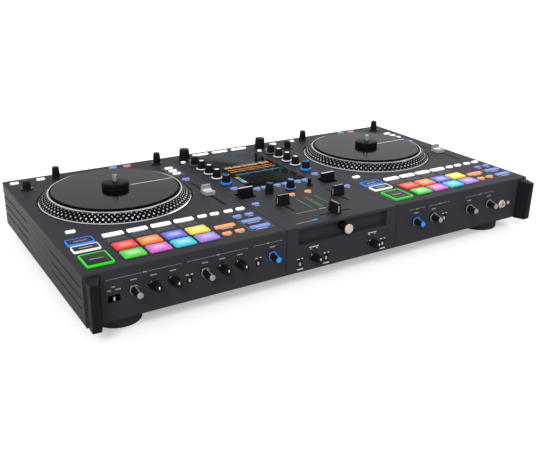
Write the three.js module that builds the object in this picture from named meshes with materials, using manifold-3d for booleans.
// Standalone DJ controller: two motorised platters, a two channel mixer section
// and a touch screen, built as separate pieces on one steel tray.
// Millimetres, +X to the right, +Y to the back, +Z up. The origin lies on the
// surface that the feet stand on, under the middle of the whole controller.
import * as THREE from 'three';
import { mergeVertices } from 'three/addons/utils/BufferGeometryUtils.js';
import Module from 'manifold-3d';

// Driving sizes of the whole controller
const consoleWidth = 716;
const consoleDepth = 366;
const bodyHeight = 65;
const footHeight = 19.5;
const mixerWidth = 184;
const sheet = 2;
const clearance = 0.3;
const seamGap = 0.8;
const bendRadius = 3;
const cutOverrun = 1;
const frontReach = 20;
const rearReach = 8;

const deckWidth = (consoleWidth - mixerWidth) / 2;
const rightDeckX = deckWidth + mixerWidth;
const mixerCentreX = consoleWidth / 2;
const panTop = -bodyHeight + sheet;
const underSheet = -sheet - clearance;

// Steps that round forms are drawn with
const platterSides = 36;
const roundSides = 16;
const socketSides = 14;
const smallSides = 8;
const bendSteps = 2;
// A round hole drawn with few sides is widened so that its flats clear a shaft
const holeFit = 1 / Math.cos(Math.PI / smallSides);

const wasm = await Module();
wasm.setup();

// Paints and plastics of the real pieces
const finish = (color, roughness, metalness = 0) =>
  new THREE.MeshStandardMaterial({ color, roughness, metalness });
const looks = {
  coat: finish(0x3f3f43, 0.55, 0.2),
  panel: finish(0x55555a, 0.5, 0.3),
  guard: finish(0x202024, 0.6),
  rubber: finish(0x161618, 0.9),
  cast: finish(0xb9bcc2, 0.3, 0.9),
  disc: finish(0x38383b, 0.75),
  knob: finish(0x1a1a1d, 0.6),
  silver: finish(0xc4c4c6, 0.35, 0.8),
  glass: finish(0x08090b, 0.15),
  silicone: finish(0xd9dbe2, 0.6),
  play: finish(0x16c81c, 0.5),
  cue: finish(0xf0f0f0, 0.5),
  sync: finish(0x3d74e0, 0.5),
  motor: finish(0x8a8d92, 0.4, 0.7),
  tray: finish(0x2c2c2f, 0.6, 0.3),
};

// Geometry helpers
// A closed mesh with shared corners and no flat triangles, its faces outwards
function closed(geometry) {
  const bare = geometry.clone();
  bare.deleteAttribute('normal');
  bare.deleteAttribute('uv');
  const merged = mergeVertices(bare);
  const spots = merged.attributes.position;
  const corner = merged.index.array;
  const kept = [];
  const a = new THREE.Vector3();
  const b = new THREE.Vector3();
  const c = new THREE.Vector3();
  let volume = 0;
  for (let i = 0; i < corner.length; i += 3) {
    const [p, q, r] = [corner[i], corner[i + 1], corner[i + 2]];
    if (p === q || q === r || r === p) continue;
    a.fromBufferAttribute(spots, p);
    b.fromBufferAttribute(spots, q);
    c.fromBufferAttribute(spots, r);
    volume += a.dot(b.cross(c));
    kept.push(p, q, r);
  }
  if (volume < 0) kept.reverse();
  merged.setIndex(kept);
  return merged;
}

function toSolid(geometry) {
  const mesh = closed(geometry);
  return new wasm.Manifold(new wasm.Mesh({
    numProp: 3,
    vertProperties: new Float32Array(mesh.attributes.position.array),
    triVerts: new Uint32Array(mesh.index.array),
  }));
}

function toGeometry(solid) {
  const mesh = solid.getMesh();
  const geometry = new THREE.BufferGeometry();
  geometry.setAttribute('position', new THREE.BufferAttribute(mesh.vertProperties.slice(), 3));
  geometry.setIndex(new THREE.BufferAttribute(mesh.triVerts.slice(), 1));
  return geometry;
}

function fuse(...pieces) {
  let whole = toSolid(pieces[0]);
  for (const piece of pieces.slice(1)) whole = whole.add(toSolid(piece));
  return toGeometry(whole);
}

function carve(body, ...cutters) {
  return toGeometry(toSolid(body).subtract(toSolid(fuse(...cutters))));
}

function common(one, other) {
  return toGeometry(toSolid(one).intersect(toSolid(other)));
}

function block(x0, x1, y0, y1, z0, z1) {
  const box = new THREE.BoxGeometry(x1 - x0, y1 - y0, z1 - z0);
  return box.translate((x0 + x1) / 2, (y0 + y1) / 2, (z0 + z1) / 2);
}

// A block whose top is drawn in on all four sides
function cap(x, y, width, depth, z0, z1, drawIn) {
  const box = block(-width / 2, width / 2, -depth / 2, depth / 2, z0, z1);
  const spots = box.attributes.position;
  for (let i = 0; i < spots.count; i += 1) {
    if (spots.getZ(i) < z1) continue;
    spots.setX(i, spots.getX(i) - Math.sign(spots.getX(i)) * drawIn);
    spots.setY(i, spots.getY(i) - Math.sign(spots.getY(i)) * drawIn);
  }
  return box.translate(x, y, 0);
}

// A form turned about an upright axis, from [radius, height] pairs
function turned(profile, sides) {
  const points = profile.map(([r, z]) => new THREE.Vector2(r, z));
  return new THREE.LatheGeometry(points, sides).rotateX(Math.PI / 2);
}

function post(x, y, radius, z0, z1, sides = smallSides) {
  const pole = new THREE.CylinderGeometry(radius, radius, z1 - z0, sides);
  return pole.rotateX(Math.PI / 2).translate(x, y, (z0 + z1) / 2);
}

// The same, lying along Y
function rod(x, z, radius, y0, y1, sides = smallSides) {
  const pole = new THREE.CylinderGeometry(radius, radius, y1 - y0, sides);
  return pole.translate(x, (y0 + y1) / 2, z);
}

// An outline in Y and Z, drawn out along X
function drawnAlongX(outline, x0, x1) {
  const shape = new THREE.Shape(outline.map(([y, z]) => new THREE.Vector2(y, z)));
  const bar = new THREE.ExtrudeGeometry(shape, { depth: x1 - x0, bevelEnabled: false });
  const turn = new THREE.Matrix4().makeBasis(
    new THREE.Vector3(0, 1, 0), new THREE.Vector3(0, 0, 1), new THREE.Vector3(1, 0, 0));
  return bar.applyMatrix4(turn).translate(x0, 0, 0);
}

function drawnUp(outline, z0, z1) {
  const shape = new THREE.Shape(outline.map(([x, y]) => new THREE.Vector2(x, y)));
  const bar = new THREE.ExtrudeGeometry(shape, { depth: z1 - z0, bevelEnabled: false });
  return bar.translate(0, 0, z0);
}

// Everything below is placed from the front left corner of the deck plane
const controller = new THREE.Group();
const bodyY = (frontReach - rearReach - consoleDepth) / 2;
controller.position.set(-consoleWidth / 2, bodyY, bodyHeight + footHeight);

function place(name, geometry, look, group = controller) {
  const mesh = new THREE.Mesh(closed(geometry), looks[look]);
  mesh.name = name;
  group.add(mesh);
  return mesh;
}

// Platters: a die cast ring on a shaft, sunk into a shallow well in the deck
// It is as large as the room that the keys, knobs and pitch fader around it leave
const frontField = 119;
const rearField = 35;
const platterLeftRoom = 17.7;
const platterRightRoom = 36.3;
const platterRoomX = deckWidth - platterLeftRoom - platterRightRoom;
const platterRoomY = consoleDepth - frontField - rearField;
const platterX = platterLeftRoom + platterRoomX / 2;
const platterY = frontField + platterRoomY / 2;
const platterRadius = Math.min(platterRoomX, platterRoomY) / 2;
const platterSlope = 12.5;
const platterRingRadius = platterRadius - platterSlope;
const ringWidth = 3;
const ringRise = 0.8;
const platterTop = 12;
const platterSkirt = 4;
const platterWall = 3;
const seatDrop = 0.1;
const seatMargin = 2.2;
const seatGroove = 1.5;
const hubRadius = 16;
const hubFloor = 3;
const shaftRadius = 4;
const shaftLength = 26;
const spindleRadius = 3.6;
const spindleTop = 33.4;
const wellGap = 2;
const wellDepth = 7;
const wellHoleRadius = 22;
const wellRadius = platterRadius + wellGap;

function platterGeometry() {
  const outer = platterRadius;
  const lip = platterRingRadius;
  const seat = platterTop - seatDrop;
  const inner = lip - ringWidth;
  return turned([
    [0, -hubFloor - shaftLength],
    [shaftRadius, -hubFloor - shaftLength],
    [shaftRadius, -hubFloor],
    [hubRadius, -hubFloor],
    [hubRadius, platterTop - platterWall - seatGroove],
    [inner - platterWall, platterTop - platterWall - seatGroove],
    [outer - platterWall, -platterSkirt],
    [outer, -platterSkirt],
    [outer, 0],
    [outer - ringRise, ringRise],
    [lip, platterTop - ringRise],
    [lip - ringRise, platterTop],
    [inner, platterTop],
    [inner, platterTop - seatGroove],
    [inner - seatMargin, platterTop - seatGroove],
    [inner - seatMargin, seat],
    [spindleRadius, seat],
    [spindleRadius, spindleTop - spindleRadius / 2],
    [spindleRadius / 2, spindleTop],
    [0, spindleTop],
  ], platterSides);
}

// Discs: a flat control disc with the adapter puck that drives it
const discThickness = 2;
const discOverhang = 0.5;
const puckRadius = 18.8;
const puckHeight = 8.5;
const puckBevel = 1;
const discRadius = platterRingRadius - ringWidth - seatMargin - discOverhang;
const discBottom = platterTop - seatDrop + clearance;
const discTop = discBottom + discThickness;

function discGeometry() {
  const bore = spindleRadius + clearance;
  const puckTop = discTop + puckHeight;
  return turned([
    [bore, discBottom],
    [discRadius, discBottom],
    [discRadius, discTop],
    [puckRadius, discTop],
    [puckRadius, puckTop - puckBevel],
    [puckRadius - puckBevel, puckTop],
    [bore, puckTop],
    [bore, discBottom],
  ], platterSides);
}

// Motors: a flat direct drive can on the tray, open below, with the shaft's bearing
const motorRadius = 46;
const motorHeight = 30;
const motorFoot = 54;
const motorFootHeight = 4;
const motorWall = 6;
const bearingRadius = 14;

function motorGeometry() {
  const floor = panTop + clearance;
  const bore = shaftRadius + clearance;
  const roof = floor + motorHeight - motorWall;
  return turned([
    [0, roof],
    [motorRadius - motorWall, roof],
    [motorRadius - motorWall, floor],
    [motorFoot, floor],
    [motorFoot, floor + motorFootHeight],
    [motorRadius, floor + motorFootHeight],
    [motorRadius, floor + motorHeight],
    [bearingRadius, floor + motorHeight],
    [bearingRadius, -hubFloor - clearance],
    [bore, -hubFloor - clearance],
    [bore, -hubFloor - shaftLength - clearance],
    [0, -hubFloor - shaftLength - clearance],
  ], roundSides);
}

// Knobs: a skirt, a fluted grip and a shaft that drops through the sheet
const knobFlutes = 6;
const knobFluteShare = 0.12;
const knobTopShare = 0.84;
const potShaftRadius = 3;
const potShaftLength = 6;
const shaftHoleRadius = (potShaftRadius + clearance) * holeFit;

function knobGeometry(skirtRadius, skirtHeight, gripRadius, height) {
  const sides = knobFlutes * 2;
  const rim = clearance;
  const top = rim + height;
  const narrow = gripRadius * knobTopShare;
  const knob = turned([
    [0, -potShaftLength],
    [potShaftRadius, -potShaftLength],
    [potShaftRadius, rim],
    [skirtRadius, rim],
    [skirtRadius, rim + skirtHeight],
    [gripRadius, rim + skirtHeight],
    [narrow, top],
    [0, top],
  ], sides);
  const spots = knob.attributes.position;
  for (let i = 0; i < spots.count; i += 1) {
    const x = spots.getX(i);
    const y = spots.getY(i);
    const radius = Math.hypot(x, y);
    if (spots.getZ(i) < rim + skirtHeight || radius > gripRadius) continue;
    const step = Math.round(Math.atan2(y, x) / (Math.PI / knobFlutes));
    if (step % 2 === 0) continue;
    spots.setX(i, x * (1 - knobFluteShare));
    spots.setY(i, y * (1 - knobFluteShare));
  }
  return knob;
}

const stripSkirtRadius = 8.3;
const stripSkirtHeight = 2;
const stripGripRadius = 6;
const stripHeight = 14.8;
const deckKnobRadius = 5.6;
const deckKnobHeights = [18, 12.7, 18];
const wideSkirtRadius = 8.6;
const browseRadius = 9;
const browseHeight = 18.4;
const centreGripRadius = 5.6;
const centreSkirtRadius = 8;
const centreHeight = 15;
const thinSkirt = 1.2;

// Keys are low caps, long ones and short ones, that stand proud of the sheet
const keyRise = 1.8;
const keyBevel = 0.5;
const longKey = 28;
const shortKey = 12;
const keyDepth = 8;
const slimKeyDepth = 6;
const padKeyInset = 1;

function key(x, y, width, depth = keyDepth) {
  return cap(x, y, width, depth, -sheet / 2, keyRise, keyBevel);
}

// Deck knobs, as shares of the deck's width and of the rear field's depth
const deckKnobPlaceShares = [[0.2803, 0.583], [0.0877, 1.397], [0.8916, 0.686]];
const deckKnobNames = ['loop', 'stop_time', 'key_shift'];
const deckKnobPlaces = deckKnobPlaceShares.map(([u, v]) =>
  [u * deckWidth, consoleDepth - v * rearField]);

// Pads: eight raised keys moulded in one silicone mat under the sheet
const padLeftRoom = 54.45;
const padRightRoom = 82.75;
const padColumns = 4;
const padRows = 2;
const padLane = 2.2;
const padLaneY = 2.5;
const padDepth = 24;
const padRise = 2.4;
const padBevel = 1;
const padGap = 0.5;
const matThickness = 2;
const matMargin = 4;
const padFieldWidth = deckWidth - padLeftRoom - padRightRoom;
const padPitchX = padFieldWidth / padColumns;
const padPitchY = padDepth + padLaneY;
const padWidth = padPitchX - padLane;
const padFieldX = padLeftRoom + padFieldWidth / 2;
const padFieldYShare = 0.3552;
const padFieldY = frontField * padFieldYShare;
const padColumnPlaces = [];
const padPlaces = [];
for (let column = 0; column < padColumns; column += 1) {
  const x = padFieldX + (column - (padColumns - 1) / 2) * padPitchX;
  padColumnPlaces.push(x);
  for (let row = 0; row < padRows; row += 1) {
    padPlaces.push([x, padFieldY + (row - (padRows - 1) / 2) * padPitchY]);
  }
}

function padMatGeometry() {
  const reachX = ((padColumns - 1) * padPitchX + padWidth) / 2 + matMargin;
  const reachY = ((padRows - 1) * padPitchY + padDepth) / 2 + matMargin;
  const floor = underSheet - matThickness;
  const mat = block(padFieldX - reachX, padFieldX + reachX,
    padFieldY - reachY, padFieldY + reachY, floor, underSheet);
  const pads = padPlaces.map(([x, y]) =>
    cap(x, y, padWidth, padDepth, underSheet - matThickness / 2, padRise, padBevel));
  return fuse(mat, ...pads);
}

// Transport buttons: square edged caps with a flange that the sheet holds down
const transportWidth = 33;
const transportLeft = 11;
const transportX = transportLeft + transportWidth / 2;
const transportRise = 2.6;
const transportFlange = 1.5;
const transportFlangeThickness = 1.4;
const transportRimWidth = 2.6;
const transportDish = 0.6;
const transportGap = 0.5;
const playDepth = 34;
const cueDepth = 16.5;
const transportPlaceShares = { play: 0.2815, cue: 0.5874, sync: 0.7731 };
const transports = Object.entries(transportPlaceShares).map(([look, share]) => ({
  name: `${look}_button`, y: frontField * share, depth: look === 'play' ? playDepth : cueDepth, look,
}));

function transportGeometry(depth) {
  const shelf = underSheet - transportFlangeThickness;
  const width = transportWidth;
  const reachX = width / 2 + transportFlange;
  const reachY = depth / 2 + transportFlange;
  const body = cap(0, 0, width, depth, shelf, transportRise, keyBevel);
  const flange = block(-reachX, reachX, -reachY, reachY, shelf, underSheet);
  const dishX = width / 2 - transportRimWidth;
  const dishY = depth / 2 - transportRimWidth;
  const dish = block(-dishX, dishX, -dishY, dishY,
    transportRise - transportDish, transportRise + cutOverrun);
  return carve(fuse(body, flange), dish);
}

// Sliding faders: a cap on a flat stem that runs in a slot
const slotWidth = 3;
const stemThickness = 1.6;
const stemLength = 6;
const stemDrop = 6;
const pitchInset = 23.3;
const pitchSlotFront = 0.6;
const pitchSlotRear = 139.8;
const pitchSlotX = deckWidth - pitchInset;
const pitchSlotLength = consoleDepth - pitchSlotRear - frontField - pitchSlotFront;
const pitchSlotY = frontField + pitchSlotFront + pitchSlotLength / 2;
const pitchCapWidth = 15;
const pitchCapDepth = 18;
const pitchCapHeight = 12;
const mixerSlotLength = 51;
const faderCapWidth = 18;
const faderCapDepth = 9.4;
const faderCapHeight = 14.8;
const faderCapTop = 4.4;
const channelFaderShare = 0.25;
const channelFaderX = mixerWidth * channelFaderShare;
const channelRests = { left: 4, right: 0 };
const faderRowShares = { channel: 0.213, cross: 0.064 };
const channelSlotY = consoleDepth * faderRowShares.channel;
const crossSlotY = consoleDepth * faderRowShares.cross;

function stem(drop) {
  return block(-stemThickness / 2, stemThickness / 2, -stemLength / 2, stemLength / 2,
    -drop, clearance * 2);
}

// The mixer faders' cap: a steep block, a little narrower at the top than at the foot
function faderGeometry() {
  const base = faderCapDepth / 2;
  const top = faderCapTop / 2;
  const body = drawnAlongX([
    [-base, clearance], [base, clearance], [top, faderCapHeight], [-top, faderCapHeight],
  ], -faderCapWidth / 2, faderCapWidth / 2);
  return fuse(body, stem(stemDrop));
}

// The pitch fader's cap: a saddle that is high at the back and low at the front
const saddleShares = [
  [1, 0.5], [0.55, 1], [0.3, 1], [0, 0.45], [-0.4, 0.45], [-0.8, 0.5], [-1, 0.4],
];

function pitchCapGeometry() {
  const half = pitchCapDepth / 2;
  const saddle = drawnAlongX([
    [-half, clearance], [half, clearance],
    ...saddleShares.map(([u, v]) => [half * u, pitchCapHeight * v]),
  ], -pitchCapWidth / 2, pitchCapWidth / 2);
  return fuse(saddle, stem(stemDrop));
}

function slot(x, y, lengthX, lengthY) {
  return block(x - lengthX / 2, x + lengthX / 2, y - lengthY / 2, y + lengthY / 2,
    -sheet - cutOverrun, cutOverrun);
}

// Front panel: knobs whose shafts lie along Y, slide switches and a jack
const frontRow = -30;
const frontKnobRadius = 5.4;
const frontKnobLength = 17;
const silverKnobLength = frontReach;
const silverKnobRadius = 6.2;
const switchDrop = 6;
const switchWidth = 7;
const switchHeight = 6;
const switchPocket = 1.2;
const switchNub = 2.2;
const switchNubReach = 1.2;
const jackHoleRadius = 3.3;
const jackRimRadius = 5.2;
const jackRim = 1.6;
const jackDepth = 14;
const jackHousing = 16;
const miniHoleRadius = 1.9;
const miniRimRadius = 3.6;
// Places along the front of each deck, as shares of its width
const frontPotShares = { left: [0.3094, 0.4026, 0.6485, 0.7406], right: [0.2647, 0.5365, 0.6955] };
const frontSwitchShares = { left: [0.1286, 0.4827, 0.8421], right: [0.3534] };
const frontKnobShares = [0.2181, 0.5603, 0.9184, 0.1376];
const jackShares = { phones: 0.808, mini: 0.8624 };
const frontMoving = [
  { name: 'mic_1_level', side: 'left', look: 'silver' },
  { name: 'mic_2_level', side: 'left', look: 'silver' },
  { name: 'echo', side: 'left', look: 'knob' },
  { name: 'phones_level', side: 'right', look: 'knob' },
].map((item, index) => ({ ...item, x: deckWidth * frontKnobShares[index] }));
const jackX = deckWidth * jackShares.phones;
const miniX = deckWidth * jackShares.mini;
const jackZ = frontRow - switchDrop;
const mixerFrontDrop = 16;
const mixerFrontZ = frontRow - mixerFrontDrop;
const mixerPotShares = [-0.2663, 0.2663];
const mixerSwitchShares = [-0.3804, -0.1522, 0.3772];

function frontPot(x, z) {
  return rod(x, z, frontKnobRadius, -frontKnobLength, sheet / 2);
}

function switchNubs(x, z) {
  const half = switchNub / 2;
  return block(x - half, x + half, -switchNubReach, sheet, z - switchNub, z + half);
}

function switchCut(x, z) {
  const half = switchWidth / 2;
  return block(x - half, x + half, -cutOverrun, switchPocket,
    z - switchHeight / 2, z + switchHeight / 2);
}

const frontSkirtShare = 1.1;

function frontKnobGeometry(radius, length) {
  const knob = knobGeometry(radius * frontSkirtShare, thinSkirt, radius, length - clearance);
  return knob.rotateX(Math.PI / 2);
}

// Tension knob: a plain turned button in a recess under the crossfader
const recessInset = 18.5;
const recessWidth = mixerWidth - 2 * recessInset;
const recessHeight = 22;
const recessDepth = 8;
const recessRoof = 1.5;
const recessTop = -sheet - recessRoof;
const tensionRadius = 6;
const tensionZ = -13;
const tensionReach = 11;

function tensionKnobGeometry() {
  const length = recessDepth + tensionReach;
  return turned([
    [0, -potShaftLength],
    [potShaftRadius, -potShaftLength],
    [potShaftRadius, clearance],
    [tensionRadius, clearance],
    [tensionRadius, length - puckBevel],
    [tensionRadius - puckBevel, length],
    [0, length],
  ], roundSides).rotateX(Math.PI / 2);
}

// Covers: each is one sheet, folded down at the front edge
const hemGap = 1;
const frontDrop = bodyHeight - hemGap;
const panelThickness = 8;

function foldedSheet(x0, x1) {
  const outer = [];
  const inner = [];
  for (let step = 0; step <= bendSteps; step += 1) {
    const angle = (step / bendSteps) * (Math.PI / 2);
    const back = 1 - Math.cos(angle);
    const rise = Math.sin(angle) - 1;
    const small = bendRadius - sheet;
    outer.push([bendRadius * back, bendRadius * rise]);
    inner.unshift([sheet + small * back, -sheet + small * rise]);
  }
  return drawnAlongX([
    [0, -frontDrop], ...outer, [consoleDepth, 0],
    [consoleDepth, -sheet], ...inner, [sheet, -frontDrop],
  ], x0, x1);
}

function shaftHole(x, y) {
  return post(x, y, shaftHoleRadius, -sheet - cutOverrun, cutOverrun);
}

function frontShaftHole(x, z, y0 = -cutOverrun, y1 = sheet + cutOverrun) {
  return rod(x, z, shaftHoleRadius, y0, y1);
}

// Small keys of a deck. Four stand behind the pads, in line with them. The others
// are placed by shares of the field right of the pads, measured from the deck's
// right edge, of the rear field, or of the room behind the pitch fader.
const padKeyRowShare = 0.8049;
const sideLongKeyShares = [[0.7553, 0.4244], [0.2731, 0.4306], [0.2791, 0.2414]];
const sideShortKeyShares = [
  [0.8677, 0.8067], [0.6465, 0.8067], [0.3927, 0.8067], [0.1704, 0.8067],
  [0.8628, 0.2399], [0.6405, 0.2399], [0.3891, 0.609], [0.1692, 0.609],
];
const rearKeyShares = [[0.052, 0.457], [0.198, 0.4235], [0.627, 0.3712], [0.713, 0.4183]];
const pitchKeyShares = [0.4134, 0.52, 0.6237, 0.857];
const leftKeyShare = 1.0796;

function deckKeys() {
  const fromRight = (u) => deckWidth - u * padRightRoom;
  const slim = (x, y) => key(x, y, shortKey, slimKeyDepth);
  return [
    ...padColumnPlaces.map((x) =>
      key(x, padKeyRowShare * frontField, padWidth - 2 * padKeyInset)),
    ...sideLongKeyShares.map(([u, v]) => key(fromRight(u), v * frontField, longKey)),
    ...sideShortKeyShares.map(([u, v]) => slim(fromRight(u), v * frontField)),
    ...rearKeyShares.map(([u, v]) => slim(u * deckWidth, consoleDepth - v * rearField)),
    ...pitchKeyShares.map((share) => slim(pitchSlotX, consoleDepth - share * pitchSlotRear)),
    slim(transportX, leftKeyShare * frontField),
  ];
}

function deckCoverGeometry(side) {
  const left = side === 'left';
  const inner = deckWidth - seamGap / 2;
  const edge = seamGap / 2;
  const x0 = left ? 0 : edge;
  const x1 = left ? inner : deckWidth;
  const foldEnd = panelThickness + clearance;
  const strip = left
    ? block(-cutOverrun, foldEnd, -cutOverrun, consoleDepth + cutOverrun, -bodyHeight, -sheet)
    : block(deckWidth - foldEnd, deckWidth + cutOverrun, -cutOverrun,
      consoleDepth + cutOverrun, -bodyHeight, -sheet);
  const wellWall = post(platterX, platterY, wellRadius + sheet, -wellDepth - sheet, -sheet / 2,
    platterSides);
  const well = post(platterX, platterY, wellRadius, -wellDepth, cutOverrun, platterSides);
  const wellHole = post(platterX, platterY, wellHoleRadius, -wellDepth * 2, 0, socketSides);
  const pots = frontPotShares[side].map((share) => frontPot(share * deckWidth, frontRow));
  const switches = frontSwitchShares[side].map((share) => share * deckWidth);
  const solids = [wellWall, ...deckKeys(), ...pots];
  const cuts = [
    strip, well, wellHole,
    slot(pitchSlotX, pitchSlotY, slotWidth, pitchSlotLength),
    ...padPlaces.map(([x, y]) => block(
      x - padWidth / 2 - padGap, x + padWidth / 2 + padGap,
      y - padDepth / 2 - padGap, y + padDepth / 2 + padGap, -sheet - cutOverrun, cutOverrun)),
    ...transports.map((item) => block(
      transportX - transportWidth / 2 - transportGap,
      transportX + transportWidth / 2 + transportGap,
      item.y - item.depth / 2 - transportGap, item.y + item.depth / 2 + transportGap,
      -sheet - cutOverrun, cutOverrun)),
    ...deckKnobPlaces.map(([x, y]) => shaftHole(x, y)),
    ...frontMoving.filter((item) => item.side === side)
      .map((item) => frontShaftHole(item.x, frontRow)),
    ...switches.map((x) => switchCut(x, frontRow - switchDrop)),
  ];
  if (!left) {
    solids.push(
      block(jackX - jackHousing / 2, miniX + miniRimRadius, sheet / 2, jackDepth + sheet,
        jackZ - jackHousing / 2, jackZ + jackHousing / 2),
      rod(jackX, jackZ, jackRimRadius, -jackRim, sheet / 2, smallSides),
      rod(miniX, jackZ, miniRimRadius, -jackRim, sheet / 2));
    cuts.push(
      rod(jackX, jackZ, jackHoleRadius, -jackRim - cutOverrun, jackDepth),
      rod(miniX, jackZ, miniHoleRadius, -jackRim - cutOverrun, jackDepth));
  }
  const sheetWithCuts = carve(fuse(foldedSheet(x0, x1), ...solids), ...cuts);
  return fuse(sheetWithCuts,
    ...switches.map((x) => switchNubs(x, frontRow - switchDrop)));
}

// Mixer section: places measured from the middle of the section
const stripInset = 20;
const stripX = mixerWidth / 2 - stripInset;
const rowShares = {
  trim: 0.828, high: 0.761, mid: 0.6907, low: 0.6216, filter: 0.54,
  browse: 0.929, paddle: 0.3825,
};
const stripRows = ['trim', 'high', 'mid', 'low', 'filter'].map((name) => (
  { name, y: consoleDepth * rowShares[name] }));
const sideInset = 19.5;
const browseX = mixerWidth / 2 - sideInset;
const browseY = consoleDepth * rowShares.browse;
const centreKnobShares = [-0.1984, 0];
const centreKnobX = centreKnobShares.map((share) => share * mixerWidth);
const toggleShare = 0.1848;
const toggleX = mixerWidth * toggleShare;
const paddleX = mixerWidth / 2 - sideInset;
const paddleY = consoleDepth * rowShares.paddle;
const effectKeyShares = [-0.2391, -0.163, -0.0462, 0.0299, 0.1495, 0.2255];
const effectKeyWidth = 10.5;
const effectKeyGap = 10.85;
const rearMixerKeyShares = [-0.2, 0, 0.2];
const rearMixerRowShare = 0.3869;
const mixerKeyPlaceShares = [
  [-0.443, 0.8902, slimKeyDepth], [0.343, 0.8886, slimKeyDepth],
  [-0.395, 0.4727, effectKeyWidth], [0.392, 0.4727, effectKeyWidth],
  [-0.426, 0.2765, effectKeyWidth], [0.433, 0.2765, effectKeyWidth],
  [-0.07, 0.3008, effectKeyWidth], [0.085, 0.3008, effectKeyWidth],
];

// Touch screen: a glass with a bezel that the mixer cover holds down
const screenSideRoom = 43;
const screenFrontRoom = 166.35;
const centreRowGap = 33.85;
const centreRowY = screenFrontRoom - centreRowGap;
const screenRearRoom = 29.15;
const screenWidth = mixerWidth - 2 * screenSideRoom;
const screenLength = consoleDepth - screenFrontRoom - screenRearRoom;
const screenY = screenFrontRoom + screenLength / 2;
const effectKeyY = screenFrontRoom - effectKeyGap;
const screenRise = 0.8;
const screenThickness = 7;
const screenFlange = 3;
const screenGap = 0.4;

function screenGeometry() {
  const halfX = screenWidth / 2;
  const halfY = screenLength / 2;
  const floor = underSheet - screenThickness;
  return fuse(
    cap(0, 0, screenWidth, screenLength, floor, screenRise, screenGap),
    block(-halfX - screenFlange, halfX + screenFlange,
      -halfY - screenFlange, halfY + screenFlange, floor, underSheet));
}

// Effect paddles: an upright plate that rocks on a pin under the sheet, in a long opening
const paddleWidth = 23.6;
const paddleHeight = 12.4;
const paddleFootDepth = 5;
const paddleEdge = 3;
const paddlePinDrop = 7;
const paddleGap = 0.7;
const paddleSlotDepth = 26;

function paddleGeometry() {
  const foot = paddleFootDepth / 2;
  const edge = paddleEdge / 2;
  const root = -paddlePinDrop - foot;
  return drawnAlongX([
    [-foot, root], [foot, root], [foot, 0], [edge, paddleHeight],
    [-edge, paddleHeight], [-foot, 0],
  ], -paddleWidth / 2, paddleWidth / 2);
}

// Toggle: a bat lever on a ball under the sheet, inside a small collar
const toggleRadius = 2.1;
const toggleTipRadius = 3;
const toggleHeight = 11;
const toggleDrop = 5;
const toggleGap = 0.6;
const toggleHoleRadius = (toggleRadius + toggleGap) * holeFit;

function toggleGeometry() {
  return turned([
    [0, -toggleDrop - toggleTipRadius],
    [toggleTipRadius, -toggleDrop],
    [toggleRadius, -sheet],
    [toggleRadius, toggleHeight / 3],
    [toggleTipRadius, toggleHeight - toggleTipRadius],
    [toggleTipRadius / 2, toggleHeight],
    [0, toggleHeight],
  ], smallSides);
}

function mixerCoverGeometry() {
  const half = mixerWidth / 2 - seamGap / 2;
  const recessHalf = recessWidth / 2;
  const recessBox = block(-recessHalf - sheet, recessHalf + sheet, 0, recessDepth + sheet,
    recessTop - recessHeight - sheet, -sheet / 2);
  const recess = block(-recessHalf, recessHalf, -cutOverrun, recessDepth,
    recessTop - recessHeight, recessTop);
  const slim = (x, y, width) => key(x, y, width, slimKeyDepth);
  const keys = [
    ...mixerKeyPlaceShares.map(([u, v, width]) => slim(u * mixerWidth, v * consoleDepth, width)),
    ...rearMixerKeyShares.map((share) =>
      slim(share * mixerWidth, consoleDepth - rearMixerRowShare * rearField, longKey)),
    ...effectKeyShares.map((share) => slim(share * mixerWidth, effectKeyY, effectKeyWidth)),
  ];
  const pots = mixerPotShares.map((share) => frontPot(share * mixerWidth, mixerFrontZ));
  const switches = mixerSwitchShares.map((share) => share * mixerWidth);
  const screenX = screenWidth / 2 + screenGap;
  const screenReach = screenLength / 2 + screenGap;
  const cuts = [
    recess,
    block(-screenX, screenX, screenY - screenReach, screenY + screenReach,
      -sheet - cutOverrun, cutOverrun),
    slot(-channelFaderX, channelSlotY, slotWidth, mixerSlotLength),
    slot(channelFaderX, channelSlotY, slotWidth, mixerSlotLength),
    slot(0, crossSlotY, mixerSlotLength, slotWidth),
    slot(-paddleX, paddleY, paddleWidth + paddleGap * 2, paddleSlotDepth),
    slot(paddleX, paddleY, paddleWidth + paddleGap * 2, paddleSlotDepth),
    post(toggleX, centreRowY, toggleHoleRadius, -sheet - cutOverrun, cutOverrun),
    ...[-1, 1].flatMap((hand) => [
      ...stripRows.map((row) => shaftHole(hand * stripX, row.y)),
      shaftHole(hand * browseX, browseY),
    ]),
    ...centreKnobX.map((x) => shaftHole(x, centreRowY)),
    frontShaftHole(0, tensionZ, recessDepth - cutOverrun, recessDepth + sheet + cutOverrun),
    ...switches.map((x) => switchCut(x, mixerFrontZ - switchDrop)),
  ];
  const body = fuse(foldedSheet(-half, half), recessBox, ...keys, ...pots);
  return fuse(carve(body, ...cuts),
    ...switches.map((x) => switchNubs(x, mixerFrontZ - switchDrop)));
}

// Side panels: grooved extrusions, plain where a badge would be
const grooveDepth = 1.4;
const grooveHeight = 2.4;
const grooveRowShares = [0.2769, 0.4923, 0.6923];
const grooveBreakShares = [0.35, 0.65];

function sidePanelGeometry() {
  const slab = block(0, panelThickness, 0, consoleDepth, -bodyHeight, underSheet);
  const [breakStart, breakEnd] = grooveBreakShares.map((share) => share * consoleDepth);
  const cuts = grooveRowShares.map((share) => -share * bodyHeight).flatMap((z) => [
    block(-cutOverrun, grooveDepth, -cutOverrun, breakStart, z - grooveHeight, z),
    block(-cutOverrun, grooveDepth, breakEnd, consoleDepth + cutOverrun, z - grooveHeight, z),
  ]);
  return carve(slab, ...cuts);
}

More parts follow.
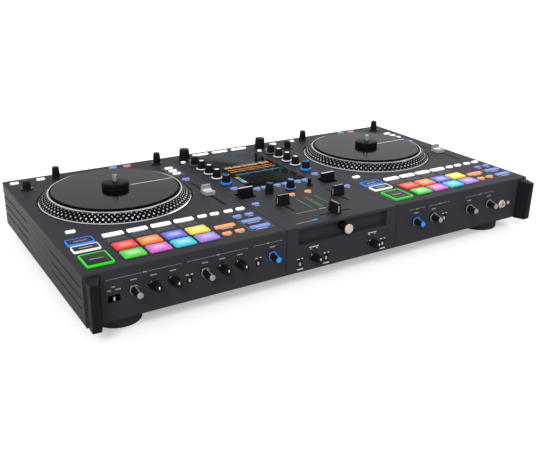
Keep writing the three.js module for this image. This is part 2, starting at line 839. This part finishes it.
// Corner guards: upright bumpers that keep knocks off the front knobs
const guardReach = 18;
const guardOuter = 1.5;
const guardInner = 19;
const guardFaceWidth = 9.7;
const guardChamfer = 1.2;
const guardBottomChamfer = 2;
const guardSetBack = 3;
const guardTop = -3;
const guardTopSlope = 2.5;
const guardBottom = -bodyHeight;

function guardGeometry() {
  const plan = drawnUp([
    [guardOuter, -guardSetBack],
    [guardOuter, -guardReach + guardChamfer],
    [guardOuter + guardChamfer, -guardReach],
    [guardOuter + guardFaceWidth, -guardReach],
    [guardInner, -clearance],
    [guardOuter + guardSetBack, -clearance],
    [guardOuter + guardSetBack, -guardSetBack],
  ], guardBottom, guardTop);
  const side = drawnAlongX([
    [0, guardBottom], [0, guardTop], [-guardSetBack, guardTop],
    [-guardReach, guardTop - guardTopSlope], [-guardReach, guardBottom + guardBottomChamfer],
    [-guardReach + guardBottomChamfer, guardBottom],
  ], 0, guardInner);
  return common(plan, side);
}

// Feet: soft discs, screwed up into the tray through a recess
const footRadius = 30.5;
const footTopRadius = 27.5;
const footRecessRadius = 6;
const footRecessDepth = 8;
const footX = 51;
const footY = 44;

function footGeometry() {
  const top = footHeight - clearance;
  return turned([
    [0, footRecessDepth],
    [footRecessRadius, footRecessDepth],
    [footRecessRadius, 0],
    [footRadius - puckBevel, 0],
    [footRadius, puckBevel],
    [footRadius, footHeight / 3],
    [footTopRadius, top],
    [0, top],
  ], roundSides);
}

// Tray: the bottom sheet, folded up at the back to carry the sockets
const socketHousing = 2;
const socketBoxHeight = 26;
const socketRow = -32;
const inletWidth = 24;
const inletHeight = 16;
const xlrRadius = 9.4;
const xlrRimRadius = 11;
const socketRim = 1.5;
const socketDepth = 15;
const lineRadius = 4.15;
const lineBoreRadius = 1.7;
const linePitch = 14;
const usbWidth = 12;
const usbHeight = 10;
const slimUsbHeight = 5.6;
const rockerWidth = 12;
const rockerHeight = 18;
const rockerRise = 2;
const rearPlaceShares = {
  inlet: 0.085, rocker: 0.135, usb: [0.2, 0.235], slimUsb: 0.275,
  round: [0.38, 0.425, 0.82, 0.87], jack: [0.485, 0.52], line: [0.6, 0.72], ground: 0.66,
};
const socketBoxShares = [[0.055, 0.155], [0.185, 0.29], [0.36, 0.54], [0.585, 0.735], [0.8, 0.89]];
const groundRadius = 3.4;

function trayGeometry() {
  const inside = panelThickness + clearance;
  const x0 = inside;
  const x1 = consoleWidth - inside;
  const back = consoleDepth;
  const wall = back - sheet;
  const at = (share) => share * consoleWidth;
  const pan = block(x0, x1, sheet + clearance, back, -bodyHeight, panTop);
  const rear = block(x0, x1, wall, back, -bodyHeight, underSheet);
  const boxes = socketBoxShares.map(([from, to]) => block(at(from), at(to),
    back - socketDepth - socketHousing, back - sheet / 2,
    socketRow - socketBoxHeight / 2, socketRow + socketBoxHeight / 2));
  const places = rearPlaceShares;
  const inlet = at(places.inlet);
  const lines = places.line.flatMap((share) => [-linePitch / 2, linePitch / 2]
    .map((step) => at(share) + step));
  const solids = [
    rear, ...boxes,
    block(at(places.rocker) - rockerWidth / 2, at(places.rocker) + rockerWidth / 2,
      wall, back + rockerRise, socketRow - rockerHeight / 2, socketRow + rockerHeight / 2),
    ...places.round.map((share) =>
      rod(at(share), socketRow, xlrRimRadius, wall, back + socketRim, socketSides)),
    ...places.jack.map((share) =>
      rod(at(share), socketRow, jackRimRadius, wall, back + socketRim)),
    ...lines.map((x) => rod(x, socketRow, lineRadius, wall, back + rearReach)),
    rod(at(places.ground), socketRow, groundRadius, wall, back + rearReach),
  ];
  const floor = back - socketDepth;
  const out = back + rearReach + cutOverrun;
  const pocket = (x, width, height) => block(x - width / 2, x + width / 2, floor, out,
    socketRow - height / 2, socketRow + height / 2);
  const cuts = [
    pocket(inlet, inletWidth, inletHeight),
    ...places.usb.map((share) => pocket(at(share), usbWidth, usbHeight)),
    pocket(at(places.slimUsb), usbWidth, slimUsbHeight),
    ...places.round.map((share) => rod(at(share), socketRow, xlrRadius, floor, out, socketSides)),
    ...places.jack.map((share) => rod(at(share), socketRow, jackHoleRadius, floor, out)),
    ...lines.map((x) => rod(x, socketRow, lineBoreRadius, floor, out)),
  ];
  return carve(fuse(pan, ...solids), ...cuts);
}

// Assembly
place('base_tray', trayGeometry(), 'tray');
place('left_side_panel', sidePanelGeometry(), 'panel');
const rightPanel = sidePanelGeometry().scale(-1, 1, 1).translate(consoleWidth, 0, 0);
place('right_side_panel', rightPanel, 'panel');
place('left_corner_guard', guardGeometry(), 'guard');
place('right_corner_guard',
  guardGeometry().scale(-1, 1, 1).translate(consoleWidth, 0, 0), 'guard');

const feetPlaces = {
  front_left_foot: [footX, footY],
  front_right_foot: [consoleWidth - footX, footY],
  rear_left_foot: [footX, consoleDepth - footY],
  rear_right_foot: [consoleWidth - footX, consoleDepth - footY],
};
for (const [name, [x, y]] of Object.entries(feetPlaces)) {
  place(name, footGeometry(), 'rubber').position.set(x, y, -bodyHeight - footHeight);
}

for (const side of ['left', 'right']) {
  const deck = new THREE.Group();
  deck.position.x = side === 'left' ? 0 : rightDeckX;
  controller.add(deck);
  place(`${side}_cover`, deckCoverGeometry(side), 'coat', deck);
  place(`${side}_pad_mat`, padMatGeometry(), 'silicone', deck);
  place(`${side}_motor`, motorGeometry(), 'motor', deck).position.set(platterX, platterY, 0);
  place(`${side}_platter`, platterGeometry(), 'cast', deck)
    .position.set(platterX, platterY, 0);
  place(`${side}_disc`, discGeometry(), 'disc', deck).position.set(platterX, platterY, 0);
  place(`${side}_pitch_fader`, pitchCapGeometry(), 'silver', deck)
    .position.set(pitchSlotX, pitchSlotY, 0);
  for (const item of transports) {
    place(`${side}_${item.name}`, transportGeometry(item.depth), item.look, deck)
      .position.set(transportX, item.y, 0);
  }
  deckKnobPlaces.forEach(([x, y], index) => {
    const skirt = index === 0 ? deckKnobRadius + thinSkirt : wideSkirtRadius;
    const knob = knobGeometry(skirt, thinSkirt, deckKnobRadius, deckKnobHeights[index]);
    place(`${side}_${deckKnobNames[index]}_knob`, knob, 'knob', deck)
      .position.set(x, y, 0);
  });
  for (const item of frontMoving.filter((entry) => entry.side === side)) {
    const silver = item.look === 'silver';
    const knob = frontKnobGeometry(silver ? silverKnobRadius : frontKnobRadius,
      silver ? silverKnobLength : frontKnobLength);
    place(`${item.name}_knob`, knob, item.look, deck).position.set(item.x, 0, frontRow);
  }
}

const mixer = new THREE.Group();
mixer.position.x = mixerCentreX;
controller.add(mixer);
place('mixer_cover', mixerCoverGeometry(), 'coat', mixer);
place('touch_screen', screenGeometry(), 'glass', mixer).position.y = screenY;
for (const [side, hand] of [['left', -1], ['right', 1]]) {
  for (const row of stripRows) {
    const knob = knobGeometry(stripSkirtRadius, stripSkirtHeight, stripGripRadius, stripHeight);
    place(`${side}_${row.name}_knob`, knob, 'knob', mixer)
      .position.set(hand * stripX, row.y, 0);
  }
  const browse = knobGeometry(browseRadius, thinSkirt, browseRadius, browseHeight);
  place(`${side}_browse_knob`, browse, 'knob', mixer)
    .position.set(hand * browseX, browseY, 0);
  place(`${side}_paddle`, paddleGeometry(), 'knob', mixer)
    .position.set(hand * paddleX, paddleY, 0);
  place(`${side}_channel_fader`, faderGeometry(), 'knob', mixer)
    .position.set(hand * channelFaderX, channelSlotY + channelRests[side], 0);
}
const crossfader = place('crossfader', faderGeometry(), 'knob', mixer);
crossfader.position.set(0, crossSlotY, 0);
crossfader.rotation.z = Math.PI / 2;
const centreNames = ['effect_select_knob', 'effect_depth_knob'];
centreKnobX.forEach((x, index) => {
  const skirt = index === 0 ? centreGripRadius + thinSkirt : centreSkirtRadius;
  const knob = knobGeometry(skirt, thinSkirt, centreGripRadius, centreHeight);
  place(centreNames[index], knob, 'knob', mixer).position.set(x, centreRowY, 0);
});
place('effect_toggle', toggleGeometry(), 'knob', mixer).position.set(toggleX, centreRowY, 0);
place('crossfader_tension_knob', tensionKnobGeometry(), 'silver', mixer)
  .position.set(0, recessDepth, tensionZ);

export default controller;
